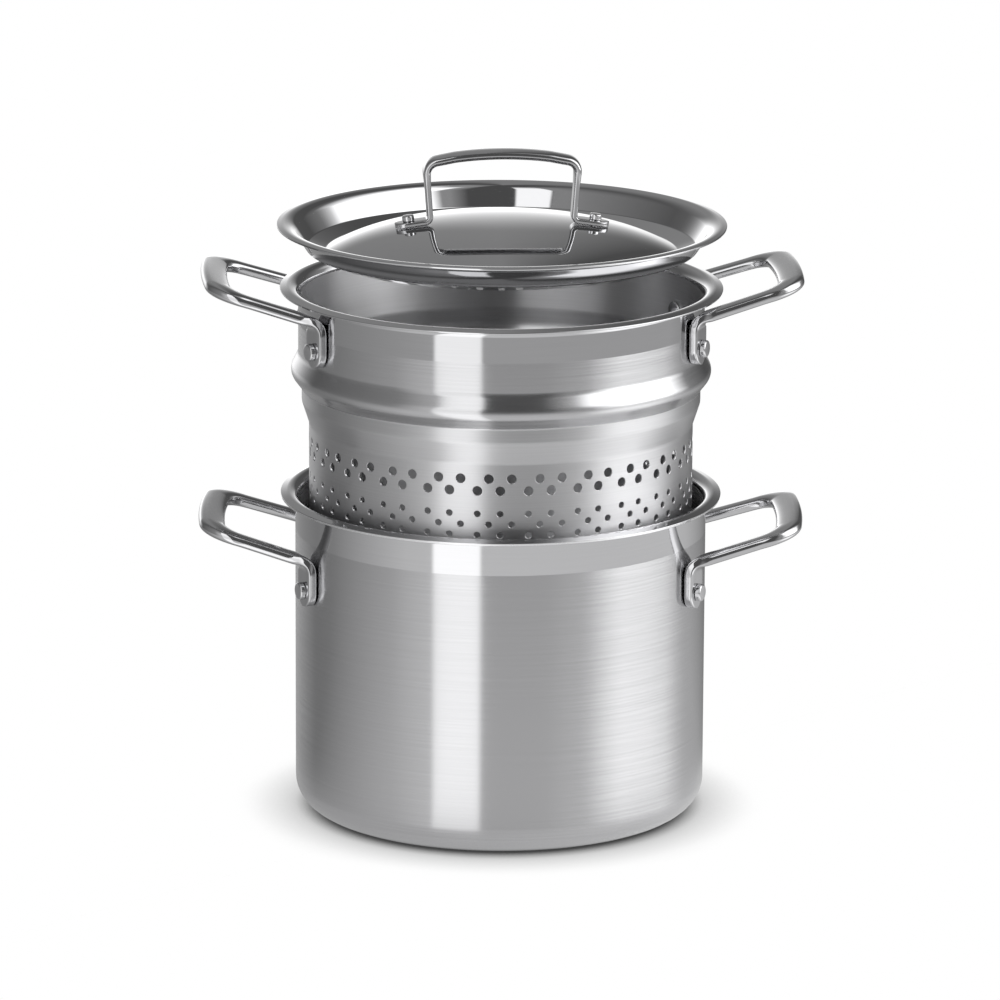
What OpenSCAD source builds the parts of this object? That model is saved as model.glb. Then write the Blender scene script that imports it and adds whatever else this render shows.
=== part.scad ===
// Pasta pot with a lift-out strainer insert and a recessed lid.
// Origin: centre of the pot's underside, +Z up, side handles along X, front of the set towards -Y.
// The insert and the lid are drawn lifted off their seats, one above the other.

/* [Pot] */
// Inside diameter of the pot's wall
pot_bore = 202; // [180:1:240]
// Height of the outer edge of the pot's rim
pot_h = 161; // [140:1:220]
// Outside radius of the bottom corner
pot_corner_r = 15; // [10:1:25]
// Thickness of the inner steel layer
inner_steel_t = 0.3; // [0.3:0.1:0.8]
// Thickness of the aluminium core
core_t = 0.9; // [0.8:0.1:2.5]
// Thickness of the outer steel layer
outer_steel_t = 0.3; // [0.3:0.1:0.8]
// Reach of the pouring lip beyond the outside of the wall
pot_lip_reach = 7.4; // [6:0.1:10]
// Fall of every lip towards its outer edge, in degrees
lip_fall = 16; // [8:1:24]
// Radius under the pot's lip, where it leaves the wall
pot_lip_r = 3; // [2:0.5:4]

/* [Insert] */
// Thickness of the insert's sheet
insert_t = 1; // [0.6:0.1:1.4]
// Depth of the insert from the outer edge of its rim
insert_h = 187; // [160:1:230]
// Height of the plain collar, from the bead up to the rim
collar_h = 33; // [28:1:45]
// Gap between the collar's outside and the pot's bore, were it lowered in
collar_gap = 0.1; // [-2:0.1:1]
// Reach of the insert's lip beyond the outside of its collar
insert_lip_reach = 9.1; // [7:0.1:11]
// Radius under the insert's lip, where it leaves the collar
insert_lip_r = 4.5; // [2:0.5:5.5]
// Peak of the seating bead outwards from the pot's bore, before it is rounded
bead_out = 4.5; // [4:0.1:9]
// Outside radius of the rounded bead
bead_r = 6; // [4:0.5:7]
// Height of the bead's upper flank
bead_flank_h = 9.1; // [7:0.1:12]
// Slope of the bead's seating cone, in degrees
seat_slope = 52; // [45:1:60]
// Height of the straight neck under the bead
neck_h = 7; // [5:0.5:12]
// Height of the cone from the neck to the perforated wall
taper_h = 11; // [8:0.5:16]
// Gap between the neck and the pot's bore
neck_gap = 1.8; // [0.4:0.1:2.4]
// Gap between the perforated wall and the pot's bore
basket_gap = 5.4; // [2.5:0.1:7]
// Outside radius of the wide bends in the insert's wall
insert_bend_r = 6; // [4:0.5:8]
// Outside radius of the bend at the top of the neck
neck_bend_r = 2; // [1.5:0.5:3]
// Outside radius of the insert's bottom corner
insert_corner_r = 10; // [6:1:16]
// Height that the insert is held above its seat
insert_lift = 57.8; // [0:0.1:160]
// Turn of the insert and the lid on the pot, in degrees
insert_turn = 3.8; // [0:0.1:20]

/* [Holes] */
// Diameter of the large holes
large_hole_d = 4.6; // [3:0.1:5.2]
// Diameter of the small holes
small_hole_d = 3.1; // [2:0.1:3.6]
// Number of hole groups round the wall
hole_groups = 24; // [12:1:24]
// Columns of holes in one group
group_columns = 4; // [2:1:4]
// Turn from one column to the next, in degrees
column_turn = 3.35; // [3.2:0.05:3.6]
// Depth of the upper row of large holes below the rim
row_depth = 75.6; // [72:0.1:90]
// Drop from the upper to the lower row of large holes
large_row_drop = 6; // [5:0.1:9]
// Drop from the large holes to the first row of small ones
band_drop = 11.5; // [9:0.1:16]
// Drop from one row of small holes to the next
small_row_drop = 5.3; // [4:0.1:8]
// Rows of small holes
small_rows = 3; // [1:1:12]
// Rings of large holes in the insert's base
base_rings = 3; // [1:1:3]
// Distance from one ring of base holes to the next
base_ring_step = 25; // [18:1:26]
// Turn of the hole pattern from the handles' line, in degrees
pattern_turn = -5.7; // [-7.5:0.1:7.5]

/* [Lid] */
// Thickness of the lid's sheet
lid_t = 1; // [0.6:0.1:1.4]
// Reach of the lid's edge beyond the insert's rim
lid_over = 1.5; // [0:0.1:3]
// Fall of the lid's flange towards its edge, in degrees
flange_fall = 9; // [5:0.5:12]
// Gap between the foot of the lid's wall and the insert's bore
lid_plug_gap = 3.6; // [3:0.1:8]
// Depth of the foot of the lid's wall below the lid's edge
wall_depth = 11.3; // [8:0.1:14]
// Inward lean of the lid's wall, from the flange to its foot
wall_lean = 8.2; // [3:0.1:10]
// Depth of the bottom of the groove below the lid's edge
groove_depth = 14.5; // [14:0.1:20]
// Width of the sloping floor from the foot of the wall to the bottom of the groove
groove_w = 8.7; // [4:0.1:12]
// Height of the dome above the bottom of the groove
dome_h = 15.7; // [12:0.1:20]
// Radius of the dome's curvature at its crown
dome_r = 520; // [400:10:900]
// Radius along the bottom of the groove and the foot of the wall
groove_bend_r = 1.4; // [1:0.1:2]
// Radius on top of the lid's flange, where it turns down
flange_r = 8; // [4:0.5:9]
// Height that the lid is held above its seat on the insert
lid_lift = 26.4; // [0:0.1:120]

/* [Side handles] */
// Width of the loop over its arms
loop_w = 88.5; // [84:0.5:104]
// Reach of the loop from the outside of the wall
loop_reach = 48.2; // [40:0.1:60]
// Rise of the loop away from the wall, in degrees
loop_rise = 17; // [8:0.5:25]
// Outside width between the middles of the two feet
foot_span = 85; // [70:1:92]
// Width of a foot
foot_w = 15; // [13:0.5:16]
// Height of the rivets above the end of a foot
foot_below_rivet = 8; // [7.5:0.1:9]
// Thickness of a foot
foot_t = 4.7; // [3:0.1:6]
// Height of the loop's arms above the rivets
arm_above_rivet = 14.3; // [14:0.1:24]
// Width of an arm
arm_w = 9.8; // [7:0.1:11]
// Thickness of an arm
arm_t = 5.8; // [4:0.1:7]
// Width of the grip pad at the end of the loop
pad_w = 13.2; // [10:0.1:16]
// Thickness of the grip pad
pad_t = 6.8; // [5:0.1:8]
// Bow of the pad away from the wall, from its ends to its middle
pad_bow = 2.5; // [0:0.1:5]
// Centre-line radius of the loop's corners
loop_corner_r = 12.5; // [10:0.5:18]
// Centre-line radius of the bend from a foot to its arm
foot_bend_r = 6; // [4:0.5:7]
// Height of the pot's rivets below the rim
pot_rivet_drop = 40.7; // [36:0.1:60]
// Height of the insert's rivets below the rim
insert_rivet_drop = 22.9; // [22:0.1:23.4]

/* [Lid handle] */
// Height of the handle's top above the lid's edge
bar_top_h = 37.4; // [32:0.2:50]
// Width of the handle over its upper corners
bar_span = 78.6; // [70:0.2:90]
// Drop of the arched bar from its middle to its corners
bar_arch = 4.3; // [0:0.1:7]
// Thickness of the bar
bar_t = 5; // [4:0.1:7]
// Depth of the bar from front to back
bar_d = 13.6; // [10:0.2:18]
// Distance between the middles of the legs at the lid
leg_span = 70.5; // [64:0.5:80]
// Thickness of the legs
leg_t = 3.2; // [2.6:0.1:4]
// Depth of the legs and feet from front to back
leg_d = 11; // [9:0.5:14]
// Overall length over both feet
lid_feet_span = 105.8; // [98:0.2:120]
// Thickness of the feet
lid_foot_t = 2.8; // [2:0.1:4]
// Length of a foot past the middle of its rivet
lid_foot_past_rivet = 7; // [5.5:0.1:8]
// Centre-line radius of the bar's corners
bar_corner_r = 6; // [4:0.5:9]
// Centre-line radius of the bend from a leg to its foot
leg_bend_r = 2.6; // [2:0.1:4]

/* [Rivets] */
// Diameter of the side-handle rivets' shanks
rivet_d = 5; // [4:0.1:6]
// Diameter of their outer heads
rivet_head_d = 8.7; // [7.5:0.1:10]
// Height of their outer heads
rivet_head_h = 3; // [1.5:0.1:4]
// Diameter of their flat inner heads
rivet_inner_d = 10.5; // [8:0.5:13]
// Height of their inner heads
rivet_inner_h = 1.2; // [0.8:0.1:2]
// Diameter of the lid rivets' shanks
lid_rivet_d = 3.4; // [2.6:0.1:4]
// Diameter of the lid rivets' heads
lid_rivet_head_d = 6; // [5:0.1:7]
// Height of the lid rivets' heads
lid_rivet_head_h = 3; // [1:0.1:4]

/* [Clearances] */
// Gap between a seated part and what carries it
seat_gap = 0.3; // [0.2:0.05:0.6]
// Gap behind a riveted foot and under a rivet head
joint_gap = 0.1; // [0.08:0.01:0.2]
// Radial gap round a rivet's shank
shank_gap = 0.05; // [0.02:0.01:0.1]

/* [Hidden] */

// Smoothness of true rounds and number of steps in a profile's bends
round_fn = 96;
bend_steps = 8;
// Points round a cast handle's section and steps round its foot's end
section_sides = 16;
foot_steps = 6;
// Squareness of a cast section: 2 is an ellipse, higher is nearer a rectangle
foot_square = 6;
arm_square = 2.6;

// Pot: radii, rim and the rounded inner corner of its lip
pot_ri = pot_bore / 2;
pot_t = inner_steel_t + core_t + outer_steel_t;
pot_ro = pot_ri + pot_t;
pot_rim_r = pot_ro + pot_lip_reach;
pot_lip_arc = lip_arc(pot_ro, pot_rim_r, pot_t, pot_lip_r);
pot_outline = bent([[0, 0, 0], [pot_ro, 0, pot_corner_r],
                    each lip(pot_ro, pot_rim_r, pot_h, pot_t, pot_lip_r)]);

// Insert: heights are measured from the outer edge of its rim
collar_r = pot_ri - collar_gap;
insert_rim_r = collar_r + insert_lip_reach;
insert_ri = collar_r - insert_t;
neck_r = pot_ri - neck_gap;
basket_r = pot_ri - basket_gap;
bead_peak_r = pot_ri + bead_out;
bead_peak_z = -collar_h - bead_flank_h;
neck_top_z = bead_peak_z - (bead_peak_r - neck_r) * tan(seat_slope);
taper_top_z = neck_top_z - neck_h;
taper_foot_z = taper_top_z - taper_h;
insert_outline = bent([[0, -insert_h, 0], [basket_r, -insert_h, insert_corner_r],
                       [basket_r, taper_foot_z, insert_bend_r], [neck_r, taper_top_z, insert_bend_r],
                       [neck_r, neck_top_z, neck_bend_r], [bead_peak_r, bead_peak_z, bead_r],
                       [collar_r, -collar_h, insert_bend_r],
                       each lip(collar_r, insert_rim_r, 0, insert_t, insert_lip_r)]);
insert_lip_arc = lip_arc(collar_r, insert_rim_r, insert_t, insert_lip_r);

// The seating cone touches the rounded inner corner of the pot's lip
seat_reach = pot_lip_r + pot_t + seat_gap;
seat_r = pot_lip_arc[0] - seat_reach * sin(seat_slope);
seat_z = pot_h + pot_lip_arc[1] + seat_reach * cos(seat_slope);
insert_seated_z = seat_z - neck_top_z - (seat_r - neck_r) * tan(seat_slope);
insert_z = insert_seated_z + insert_lift;

// Lid: heights are measured from the outer edge of its flange, radii are of its top face
lid_r = insert_rim_r + lid_over;
wall_foot_r = insert_ri - lid_plug_gap;
flange_corner_r = wall_foot_r + wall_lean;
flange_corner_z = (lid_r - flange_corner_r) * tan(flange_fall);
groove_r = wall_foot_r - groove_w;
dome_top_z = dome_h - groove_depth;
dome_droop = dome_h - pow(groove_r, 2) / (2 * dome_r);
dome_steps = 12;
lid_outline = bent([for (i = [0:dome_steps - 1])
                        [groove_r * i / dome_steps, dome_z(groove_r * i / dome_steps), 0],
                    [groove_r, -groove_depth, groove_bend_r], [wall_foot_r, -wall_depth, groove_bend_r],
                    [flange_corner_r, flange_corner_z, flange_r], [lid_r, 0, 0]]);

// The lid's leaning wall rests on the rounded inner corner of the insert's lip
wall_tilt = atan(wall_lean / (flange_corner_z + wall_depth));
lid_seat_reach = insert_lip_r + insert_t + seat_gap + lid_t;
lid_seated_z = insert_lip_arc[1] + wall_depth
               + (lid_seat_reach - (insert_lip_arc[0] - wall_foot_r) * cos(wall_tilt)) / sin(wall_tilt);
lid_z = insert_z + lid_seated_z + lid_lift;

// Lid handle: where its feet lie on the dome
lid_rivet_r = lid_feet_span / 2 - lid_foot_past_rivet;
lid_rivet_tilt = atan(lid_rivet_r / dome_r + 4 * dome_droop * pow(lid_rivet_r, 3) / pow(groove_r, 4));

function dome_z(r) = dome_top_z - r * r / (2 * dome_r) - dome_droop * pow(r / groove_r, 4);
function unit(v) = v / norm(v);

// Last two points of an outline that turns out into a falling lip; z is the height of the lip's edge
function lip(wall_r, rim_r, z, t, r) =
    let (under_r = rim_r - t * sin(lip_fall), under_z = z - t * cos(lip_fall))
    [[wall_r, under_z + (under_r - wall_r) * tan(lip_fall), r], [under_r, under_z, 0]];

// Centre of a lip's bend: radius, and height from the lip's edge
function lip_arc(wall_r, rim_r, t, r) =
    let (p = lip(wall_r, rim_r, 0, t, r)[0])
    [wall_r + r, p[1] - r * tan(lip_fall) - r / cos(lip_fall)];

// Points of an arc that rounds corner b between a and c with radius r, in the plane or in space
function rounding(a, b, c, r) =
    let (u = unit(a - b), v = unit(c - b), half = acos(u * v) / 2,
         start = b + u * r / tan(half), centre = b + unit(u + v) * r / sin(half),
         from_centre = start - centre, along = -u * r, sweep = 180 - 2 * half)
    [for (i = [0:bend_steps]) centre + from_centre * cos(sweep * i / bend_steps)
                                     + along * sin(sweep * i / bend_steps)];

// Outline with its corners rounded: each point is radius, height and corner radius
function bent(pts) =
    let (flat = [for (p = pts) [p[0], p[1]]], last = len(pts) - 1)
    [for (i = [0:last]) each (pts[i][2] > 0 ? rounding(flat[i - 1], flat[i], flat[i + 1], pts[i][2])
                                            : [flat[i]])];

// Outline moved sideways by d, to the left of its own direction
function moved(pts, d) =
    let (last = len(pts) - 1)
    [for (i = [0:last])
        let (u = unit(pts[max(i, 1)] - pts[max(i, 1) - 1]),
             v = unit(pts[min(i, last - 1) + 1] - pts[min(i, last - 1)]),
             side = unit(u + v))
        pts[i][0] == 0 ? pts[i] + [0, d] : pts[i] + [-side[1], side[0]] * d / (side * u)];

// Sheet between two distances from an outline, turned about Z
module sheet(outline, from, to) {
    near = moved(outline, from);
    far = moved(outline, to);
    rotate_extrude($fn = round_fn)
        polygon(concat(near, [for (i = [len(far) - 1:-1:0]) far[i]]));
}

// Drill along X from the axis to the right, at a height
module radial_drill(d, z, length) {
    translate([0, 0, z])
        rotate([0, 90, 0])
            cylinder(d = d, h = length, $fn = 32);
}

// Turn from the handles' line to a foot on a wall
function foot_turn(wall_r) = asin(foot_span / 2 / wall_r);

// The four rivet holes of one vessel
module rivet_holes(wall_r, z) {
    for (side = [0, 180])
        for (turn = [-1, 1])
            rotate([0, 0, side + turn * foot_turn(wall_r)])
                translate([wall_r / 2, 0, 0])
                    radial_drill(rivet_d + 2 * shank_gap, z, wall_r);
}

// Swept solid: each station is [centre, half width vector, half thickness vector, squareness]
function section_pow(x, n) = sign(x) * pow(abs(x), 2 / n);
function section(s) =
    [for (k = [0:section_sides - 1])
        let (a = 360 * k / section_sides)
        s[0] + s[1] * section_pow(cos(a), s[3]) + s[2] * section_pow(sin(a), s[3])];
module swept(stations) {
    n = section_sides;
    last = len(stations) - 1;
    polyhedron(points = [for (s = stations) each section(s)],
               faces = concat(
                   [[for (k = [n - 1:-1:0]) k]],
                   [for (i = [0:last - 1]) for (k = [0:n - 1])
                       [i * n + k, i * n + (k + 1) % n, (i + 1) * n + k]],
                   [for (i = [0:last - 1]) for (k = [0:n - 1])
                       [i * n + (k + 1) % n, (i + 1) * n + (k + 1) % n, (i + 1) * n + k]],
                   [[for (k = [0:n - 1]) last * n + k]]),
               convexity = 6);
}

// Distance travelled to each point of a route, direction at each point, and a smooth step
function run(pts, i) = i == 0 ? 0 : run(pts, i - 1) + norm(pts[i] - pts[i - 1]);
function heading(pts, i) =
    let (last = len(pts) - 1)
    unit(pts[min(i + 1, last)] - pts[max(i - 1, 0)]);
function ease(x) = let (t = min(max(x, 0), 1)) t * t * (3 - 2 * t);
function mix(a, b, t) = a + (b - a) * t;

// Half width of a foot with a round end, a distance s from the end
function foot_half(w, s) = s < w / 2 ? sqrt(pow(w / 2, 2) - pow(w / 2 - s, 2)) : w / 2;

// Mirror image of the stations across a plane through the axis, in reverse order
function mirrored(stations, flip) =
    [for (i = [len(stations) - 2:-1:0])
        [for (k = [0:2]) [for (c = [0:2]) stations[i][k][c] * flip[c]], stations[i][3]]];

// Stations of half a side handle: foot, bend, arm, corner and half of the grip pad
function side_half(wall_r, rivet_z) =
    let (turn = foot_turn(wall_r),
         foot_r = wall_r + joint_gap + foot_t / 2,
         out = [cos(turn), sin(turn), 0],
         tip = out * foot_r + [0, 0, rivet_z - foot_below_rivet],
         bend = out * foot_r + [0, 0, rivet_z + arm_above_rivet],
         bow = pad_bow * [cos(loop_rise), 0, sin(loop_rise)],
         corner_x = wall_r + loop_reach - pad_w / 2 - bow[0],
         corner = [corner_x, (loop_w - arm_w) / 2,
                   bend[2] + (corner_x - bend[0]) * tan(loop_rise)],
         middle = [corner[0], 0, corner[2]],
         up = [-sin(loop_rise), 0, cos(loop_rise)],
         route = concat([for (i = [1:foot_steps])
                            tip + [0, 0, foot_w / 2 * (1 - cos(90 * i / foot_steps))]],
                        rounding(tip, bend, corner, foot_bend_r),
                        [mix(bend, corner, 0.45), mix(bend, corner, 0.6)],
                        [for (p = concat(rounding(bend, corner, middle, loop_corner_r),
                                         [for (t = [0.5, 0.7, 0.85, 1]) mix(corner, middle, t)]))
                            p + bow * max(0, 1 - pow(p[1] / corner[1], 2))]),
         bend_s = bend[2] - tip[2],
         corner_s = bend_s + norm(corner - bend))
    [for (i = [0:len(route) - 1])
        let (s = run(route, i) + foot_w / 2 * (1 - cos(90 / foot_steps)),
             t = i == len(route) - 1 ? [0, -1, 0] : heading(route, i),
             blend = ease((s - bend_s + foot_bend_r) / (2.2 * foot_bend_r)),
             grip = ease((s - corner_s + loop_corner_r * 1.4) / (1.6 * loop_corner_r)),
             raw = mix(-out, up, blend),
             n = unit(raw - t * (raw * t)),
             half_w = mix(foot_half(foot_w, s), mix(arm_w, pad_w, grip) / 2, blend),
             half_t = mix(foot_t, mix(arm_t, pad_t, grip), blend) / 2)
        [route[i], cross(t, n) * half_w, n * half_t, mix(foot_square, arm_square, blend)]];

// Cast loop handle with two riveted feet, on the +X side of a wall
module side_handle(wall_r, rivet_z) {
    half = side_half(wall_r, rivet_z);
    difference() {
        swept(concat(half, mirrored(half, [1, -1, 1])));
        for (turn = [-1, 1])
            rotate([0, 0, turn * foot_turn(wall_r)])
                translate([wall_r - foot_t, 0, 0])
                    radial_drill(rivet_d + 2 * shank_gap, rivet_z, 3 * foot_t);
    }
}

// Rivet along +X: flat inner head at inner_x, outer head above outer_x
module rivet(inner_x, outer_x) {
    edge = rivet_head_h / 4;
    inner_edge = rivet_inner_h / 2;
    translate([inner_x, 0, 0])
        rotate([0, 90, 0])
            rotate_extrude($fn = 48)
                polygon([[0, -rivet_inner_h], [rivet_inner_d / 2 - 2 * inner_edge, -rivet_inner_h],
                         [rivet_inner_d / 2, -inner_edge], [rivet_inner_d / 2, 0],
                         [rivet_d / 2, 0], [rivet_d / 2, outer_x - inner_x],
                         [rivet_head_d / 2, outer_x - inner_x],
                         [rivet_head_d / 2, outer_x - inner_x + rivet_head_h - edge],
                         [rivet_head_d / 2 - edge, outer_x - inner_x + rivet_head_h],
                         [0, outer_x - inner_x + rivet_head_h]]);
}

// Rivet of a side handle; its inner head clears the hollow of the wall behind it
module wall_rivet(wall_r, wall_t, z, side, turn) {
    inner_r = wall_r - wall_t;
    inner_x = sqrt(pow(inner_r, 2) - pow(rivet_inner_d / 2, 2)) - joint_gap;
    rotate([0, 0, side + turn * foot_turn(wall_r)])
        translate([0, 0, z])
            rivet(inner_x, wall_r + foot_t + 2 * joint_gap);
}

// Insert: the drilled rows and the base holes
module drill_column(angle, d, depth) {
    rotate([0, 0, angle])
        translate([basket_r - 4 * insert_t, 0, 0])
            radial_drill(d, -depth, 6 * insert_t);
}
module basket_holes() {
    for (g = [0:hole_groups - 1])
        for (c = [0:group_columns - 1]) {
            angle = pattern_turn + 360 * g / hole_groups + (c - (group_columns - 1) / 2) * column_turn;
            odd = c % 2;
            drill_column(angle, large_hole_d, row_depth + (odd ? 0 : large_row_drop));
            for (row = [odd:2:small_rows - 1])
                drill_column(angle, small_hole_d,
                             row_depth + large_row_drop + band_drop + row * small_row_drop);
        }
    for (ring = [0:base_rings])
        for (k = [0:max(8 * ring, 1) - 1])
            rotate([0, 0, pattern_turn + 360 * k / max(8 * ring, 1)])
                translate([ring * base_ring_step, 0, -insert_h - insert_t])
                    cylinder(d = large_hole_d, h = 3 * insert_t, $fn = 32);
}

// Stations of half a lid handle: foot, bend, leg, corner and half of the arched bar
function bar_z(x) = bar_top_h - bar_t / 2 - bar_arch * pow(x / (bar_span / 2), 2);
function lid_half() =
    let (tilt = lid_rivet_tilt,
         slope = [cos(tilt), 0, -sin(tilt)],
         rise = [sin(tilt), 0, cos(tilt)],
         seat = [lid_rivet_r, 0, dome_z(lid_rivet_r)] + rise * (joint_gap + lid_foot_t / 2),
         tip = seat + slope * lid_foot_past_rivet,
         bend = seat - slope * (lid_rivet_r - leg_span / 2),
         corner = [(bar_span - leg_t) / 2, 0, bar_z(bar_span / 2)],
         arch = [for (k = [3:-1:0]) [bar_span * k / 10, 0, bar_z(bar_span * k / 10)]],
         route = concat([for (i = [1:foot_steps])
                            tip - slope * leg_d / 2 * (1 - cos(90 * i / foot_steps))],
                        rounding(tip, bend, corner, leg_bend_r),
                        [mix(bend, corner, 0.5)],
                        rounding(bend, corner, arch[0], bar_corner_r),
                        arch),
         bend_s = norm(bend - tip),
         corner_s = bend_s + norm(corner - bend))
    [for (i = [0:len(route) - 1])
        let (s = run(route, i) + leg_d / 2 * (1 - cos(90 / foot_steps)),
             t = i == len(route) - 1 ? [-1, 0, 0] : heading(route, i),
             n = cross([0, 1, 0], t),
             leg = ease((s - bend_s + leg_bend_r) / (2 * leg_bend_r)),
             bar = ease((s - corner_s + 2.5 * bar_corner_r) / (3.5 * bar_corner_r)),
             half_w = mix(foot_half(leg_d, s), mix(leg_d, bar_d, bar) / 2, leg),
             half_t = mix(lid_foot_t, mix(leg_t, bar_t, bar), leg) / 2)
        [route[i], [0, half_w, 0], n * half_t, mix(foot_square, mix(4, arm_square, bar), leg)]];

// One lid rivet: tilted with the dome, through the lid and a foot of the handle
module lid_rivet(side) {
    edge = lid_rivet_head_h / 4;
    top = lid_foot_t + 2 * joint_gap;
    under = -lid_t - 2 * joint_gap;
    at_lid_rivet(side)
        rotate_extrude($fn = 48)
            polygon([[0, under - lid_rivet_d / 3], [lid_rivet_head_d / 2 - edge, under - lid_rivet_d / 3],
                     [lid_rivet_head_d / 2, under - lid_rivet_d / 6], [lid_rivet_head_d / 2, under],
                     [lid_rivet_d / 2, under], [lid_rivet_d / 2, top], [lid_rivet_head_d / 2, top],
                     [lid_rivet_head_d / 2, top + lid_rivet_head_h - edge],
                     [lid_rivet_head_d / 2 - edge, top + lid_rivet_head_h], [0, top + lid_rivet_head_h]]);
}
module at_lid_rivet(side) {
    translate([side * lid_rivet_r, 0, dome_z(lid_rivet_r)])
        rotate([0, side * lid_rivet_tilt, 0])
            children();
}
module lid_rivet_holes() {
    for (side = [-1, 1])
        at_lid_rivet(side)
            translate([0, 0, -4 * lid_t])
                cylinder(d = lid_rivet_d + 2 * shank_gap, h = 4 * lid_t + 3 * lid_foot_t, $fn = 32);
}

// Where each vessel stands
pot_rivet_z = pot_h - pot_rivet_drop;
module at_insert() {
    translate([0, 0, insert_z])
        rotate([0, 0, insert_turn])
            children();
}
module at_lid() {
    translate([0, 0, lid_z])
        rotate([0, 0, insert_turn])
            children();
}

// One layer of the pot's bonded wall
module pot_layer(from, to) {
    difference() {
        sheet(pot_outline, from, to);
        rivet_holes(pot_ro, pot_rivet_z);
    }
}
module pot_outer_steel() {
    color("silver")
        pot_layer(0, outer_steel_t);
}
module pot_aluminium_core() {
    color("gainsboro")
        pot_layer(outer_steel_t, outer_steel_t + core_t);
}
module pot_inner_steel() {
    color("darkgray")
        pot_layer(outer_steel_t + core_t, pot_t);
}
module pot_handle(side) {
    color("dimgray")
        rotate([0, 0, side])
            side_handle(pot_ro, pot_rivet_z);
}
module pot_rivet(side, turn) {
    color("lightgray")
        wall_rivet(pot_ro, pot_t, pot_rivet_z, side, turn);
}

module insert_basket() {
    color("silver")
        at_insert()
            difference() {
                sheet(insert_outline, 0, insert_t);
                rivet_holes(collar_r, -insert_rivet_drop);
                basket_holes();
            }
}
module insert_handle(side) {
    color("dimgray")
        at_insert()
            rotate([0, 0, side])
                side_handle(collar_r, -insert_rivet_drop);
}
module insert_rivet(side, turn) {
    color("lightgray")
        at_insert()
            wall_rivet(collar_r, insert_t, -insert_rivet_drop, side, turn);
}

module lid_disc() {
    color("silver")
        at_lid()
            difference() {
                sheet(lid_outline, -lid_t, 0);
                lid_rivet_holes();
            }
}
module lid_handle() {
    half = lid_half();
    color("dimgray")
        at_lid()
            difference() {
                swept(concat(half, mirrored(half, [-1, 1, 1])));
                lid_rivet_holes();
            }
}
module lid_rivet_at(side) {
    color("lightgray")
        at_lid()
            lid_rivet(side);
}

pot_outer_steel();
pot_aluminium_core();
pot_inner_steel();
pot_handle(0);  // pot_handle_right
pot_handle(180);  // pot_handle_left
pot_rivet(0, -1);  // pot_rivet_right_front
pot_rivet(0, 1);  // pot_rivet_right_back
pot_rivet(180, 1);  // pot_rivet_left_front
pot_rivet(180, -1);  // pot_rivet_left_back
insert_basket();
insert_handle(0);  // insert_handle_right
insert_handle(180);  // insert_handle_left
insert_rivet(0, -1);  // insert_rivet_right_front
insert_rivet(0, 1);  // insert_rivet_right_back
insert_rivet(180, 1);  // insert_rivet_left_front
insert_rivet(180, -1);  // insert_rivet_left_back
lid_disc();
lid_handle();
lid_rivet_at(-1);  // lid_rivet_left
lid_rivet_at(1);  // lid_rivet_right
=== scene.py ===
import math

import bmesh
import bpy
from mathutils import Matrix, Vector
from mathutils.geometry import tessellate_polygon


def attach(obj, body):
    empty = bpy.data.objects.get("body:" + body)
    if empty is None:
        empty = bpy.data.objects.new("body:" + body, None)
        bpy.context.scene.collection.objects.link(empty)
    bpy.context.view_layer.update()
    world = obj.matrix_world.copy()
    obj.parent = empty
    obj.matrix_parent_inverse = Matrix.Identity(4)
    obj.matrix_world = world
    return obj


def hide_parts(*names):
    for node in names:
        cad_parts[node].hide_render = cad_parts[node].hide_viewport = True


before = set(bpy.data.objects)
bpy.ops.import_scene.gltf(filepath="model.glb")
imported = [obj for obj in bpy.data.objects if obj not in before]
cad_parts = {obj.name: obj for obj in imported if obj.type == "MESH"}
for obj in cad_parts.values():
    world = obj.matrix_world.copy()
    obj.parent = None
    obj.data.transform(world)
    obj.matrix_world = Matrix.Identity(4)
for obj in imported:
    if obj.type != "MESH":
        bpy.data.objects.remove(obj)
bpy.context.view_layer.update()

# Sizes in millimetres, the same as the part's; heights on the insert and lid start at their own rims
MM = 0.001
JOINT_GAP = 0.1
LIP_FALL = math.radians(16.0)
INSERT_Z, LID_Z, INSERT_TURN = 265.277, 297.138, math.radians(3.8)

# Sizes of the pot
POT_RO, POT_H, POT_T, POT_CORNER = 102.5, 161.0, 1.5, 15.0
OUTER_T, CORE_T, POT_EDGE = 0.3, 0.9, 0.25
POT_RIM_R, POT_LIP_R = 109.9, 3.0
POT_RIVET_Z = POT_H - 40.7
POT_FINISH_Z, POT_INSIDE_POLISH = 143.0, 6.0

# Sizes of the insert
COLLAR_R, INSERT_RIM_R, INSERT_T, INSERT_H, INSERT_EDGE = 100.9, 110.0, 1.0, 187.0, 0.3
INSERT_LIP_R, INSERT_BEND_R, NECK_BEND_R, INSERT_CORNER = 4.5, 6.0, 2.0, 10.0
COLLAR_H, BEAD_R, BEAD_PEAK_R, BEAD_PEAK_Z = 33.0, 6.0, 105.5, -42.1
NECK_R, BASKET_R, SEAT_SLOPE, NECK_H, TAPER_H = 99.2, 95.6, math.radians(52.0), 7.0, 11.0
INSERT_RIVET_Z, INSERT_FINISH_Z = -22.9, -17.0

# Sizes of the insert's holes
LARGE_D, SMALL_D, GROUPS, COLUMNS = 4.6, 3.1, 24, 4
COLUMN_TURN, PATTERN_TURN = 3.35, -5.7
LARGE_ROWS, SMALL_ROWS = (-75.6, -81.6), (-93.1, -98.4, -103.7)
BASE_RINGS, BASE_STEP, RING_HOLES = 3, 25.0, 8
CHAMFER = 0.2

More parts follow.
